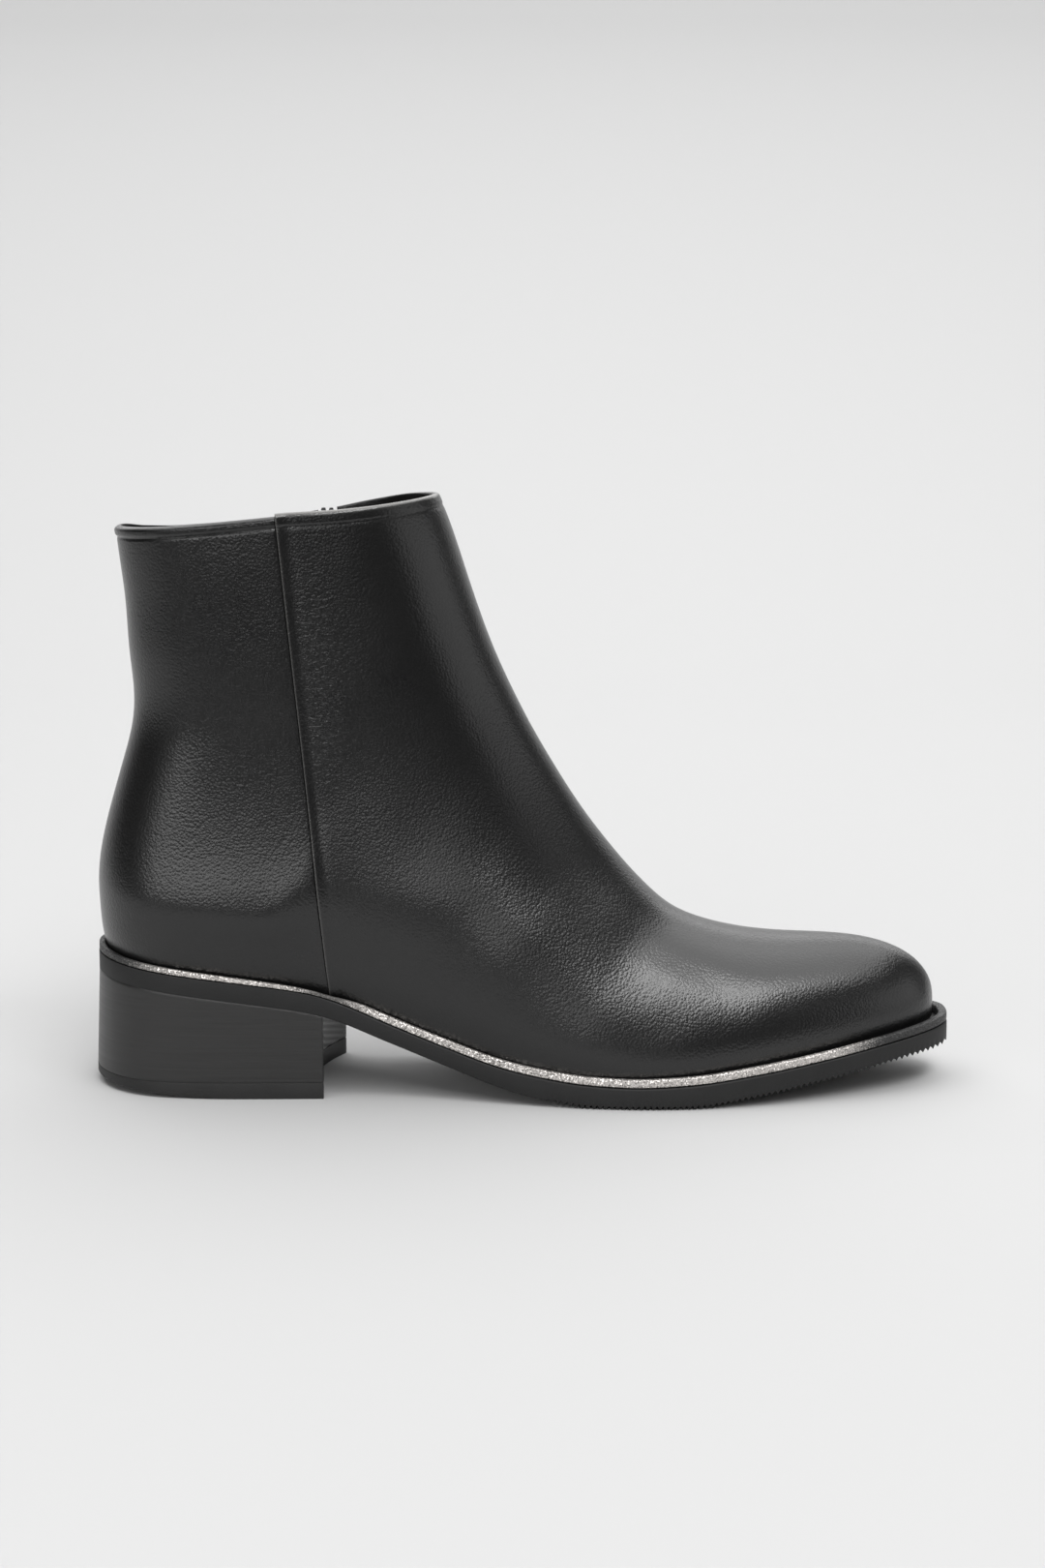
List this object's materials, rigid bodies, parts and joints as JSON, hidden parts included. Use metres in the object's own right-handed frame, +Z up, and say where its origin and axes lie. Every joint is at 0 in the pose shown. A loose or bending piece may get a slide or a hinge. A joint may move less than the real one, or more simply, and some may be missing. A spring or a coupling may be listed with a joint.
{
  "type": "ankle boot",
  "caption": "Right ankle boot with a plain leather shaft, almond toe, inside zip, metallic welt bead, rubber outsole and low block heel.",
  "frame": {"origin": "on the floor, under the middle of the boot's outline", "axes": "+X from heel to toe, +Y towards the inner side of the right foot, where the zip is, +Z up"},
  "size_m": [0.2674, 0.083, 0.183],
  "materials": {
    "upper_leather": "smooth black leather with a fine grain and a soft sheen",
    "outsole_rubber": "matt black rubber",
    "heel_stack": "black painted stack with faint layer lines",
    "top_lift_rubber": "matt black rubber",
    "bead_metallic": "silver metallised piping with a fine glitter",
    "insole_lining": "matt charcoal lining and sock",
    "zip_cloth": "black woven tape with a black chain",
    "zip_metal": "polished gunmetal"
  },
  "bodies": {
    "boot": {"upper": "upper_leather", "insole": "insole_lining", "outsole": "outsole_rubber", "welt_bead": "bead_metallic", "heel_block": "heel_stack", "top_lift": "top_lift_rubber", "zip_tape": "zip_cloth", "zip_slider": "zip_metal"},
    "pull": {"zip_pull": "zip_metal"}
  },
  "joints": [
    {"name": "pull_swing", "type": "hinge", "parent": "boot", "child": "pull", "pos_m": [-0.06081, 0.03614, 0.16399], "axis": [0.9975, -0.0598, 0.0382], "range_deg": [0, 170]}
  ]
}
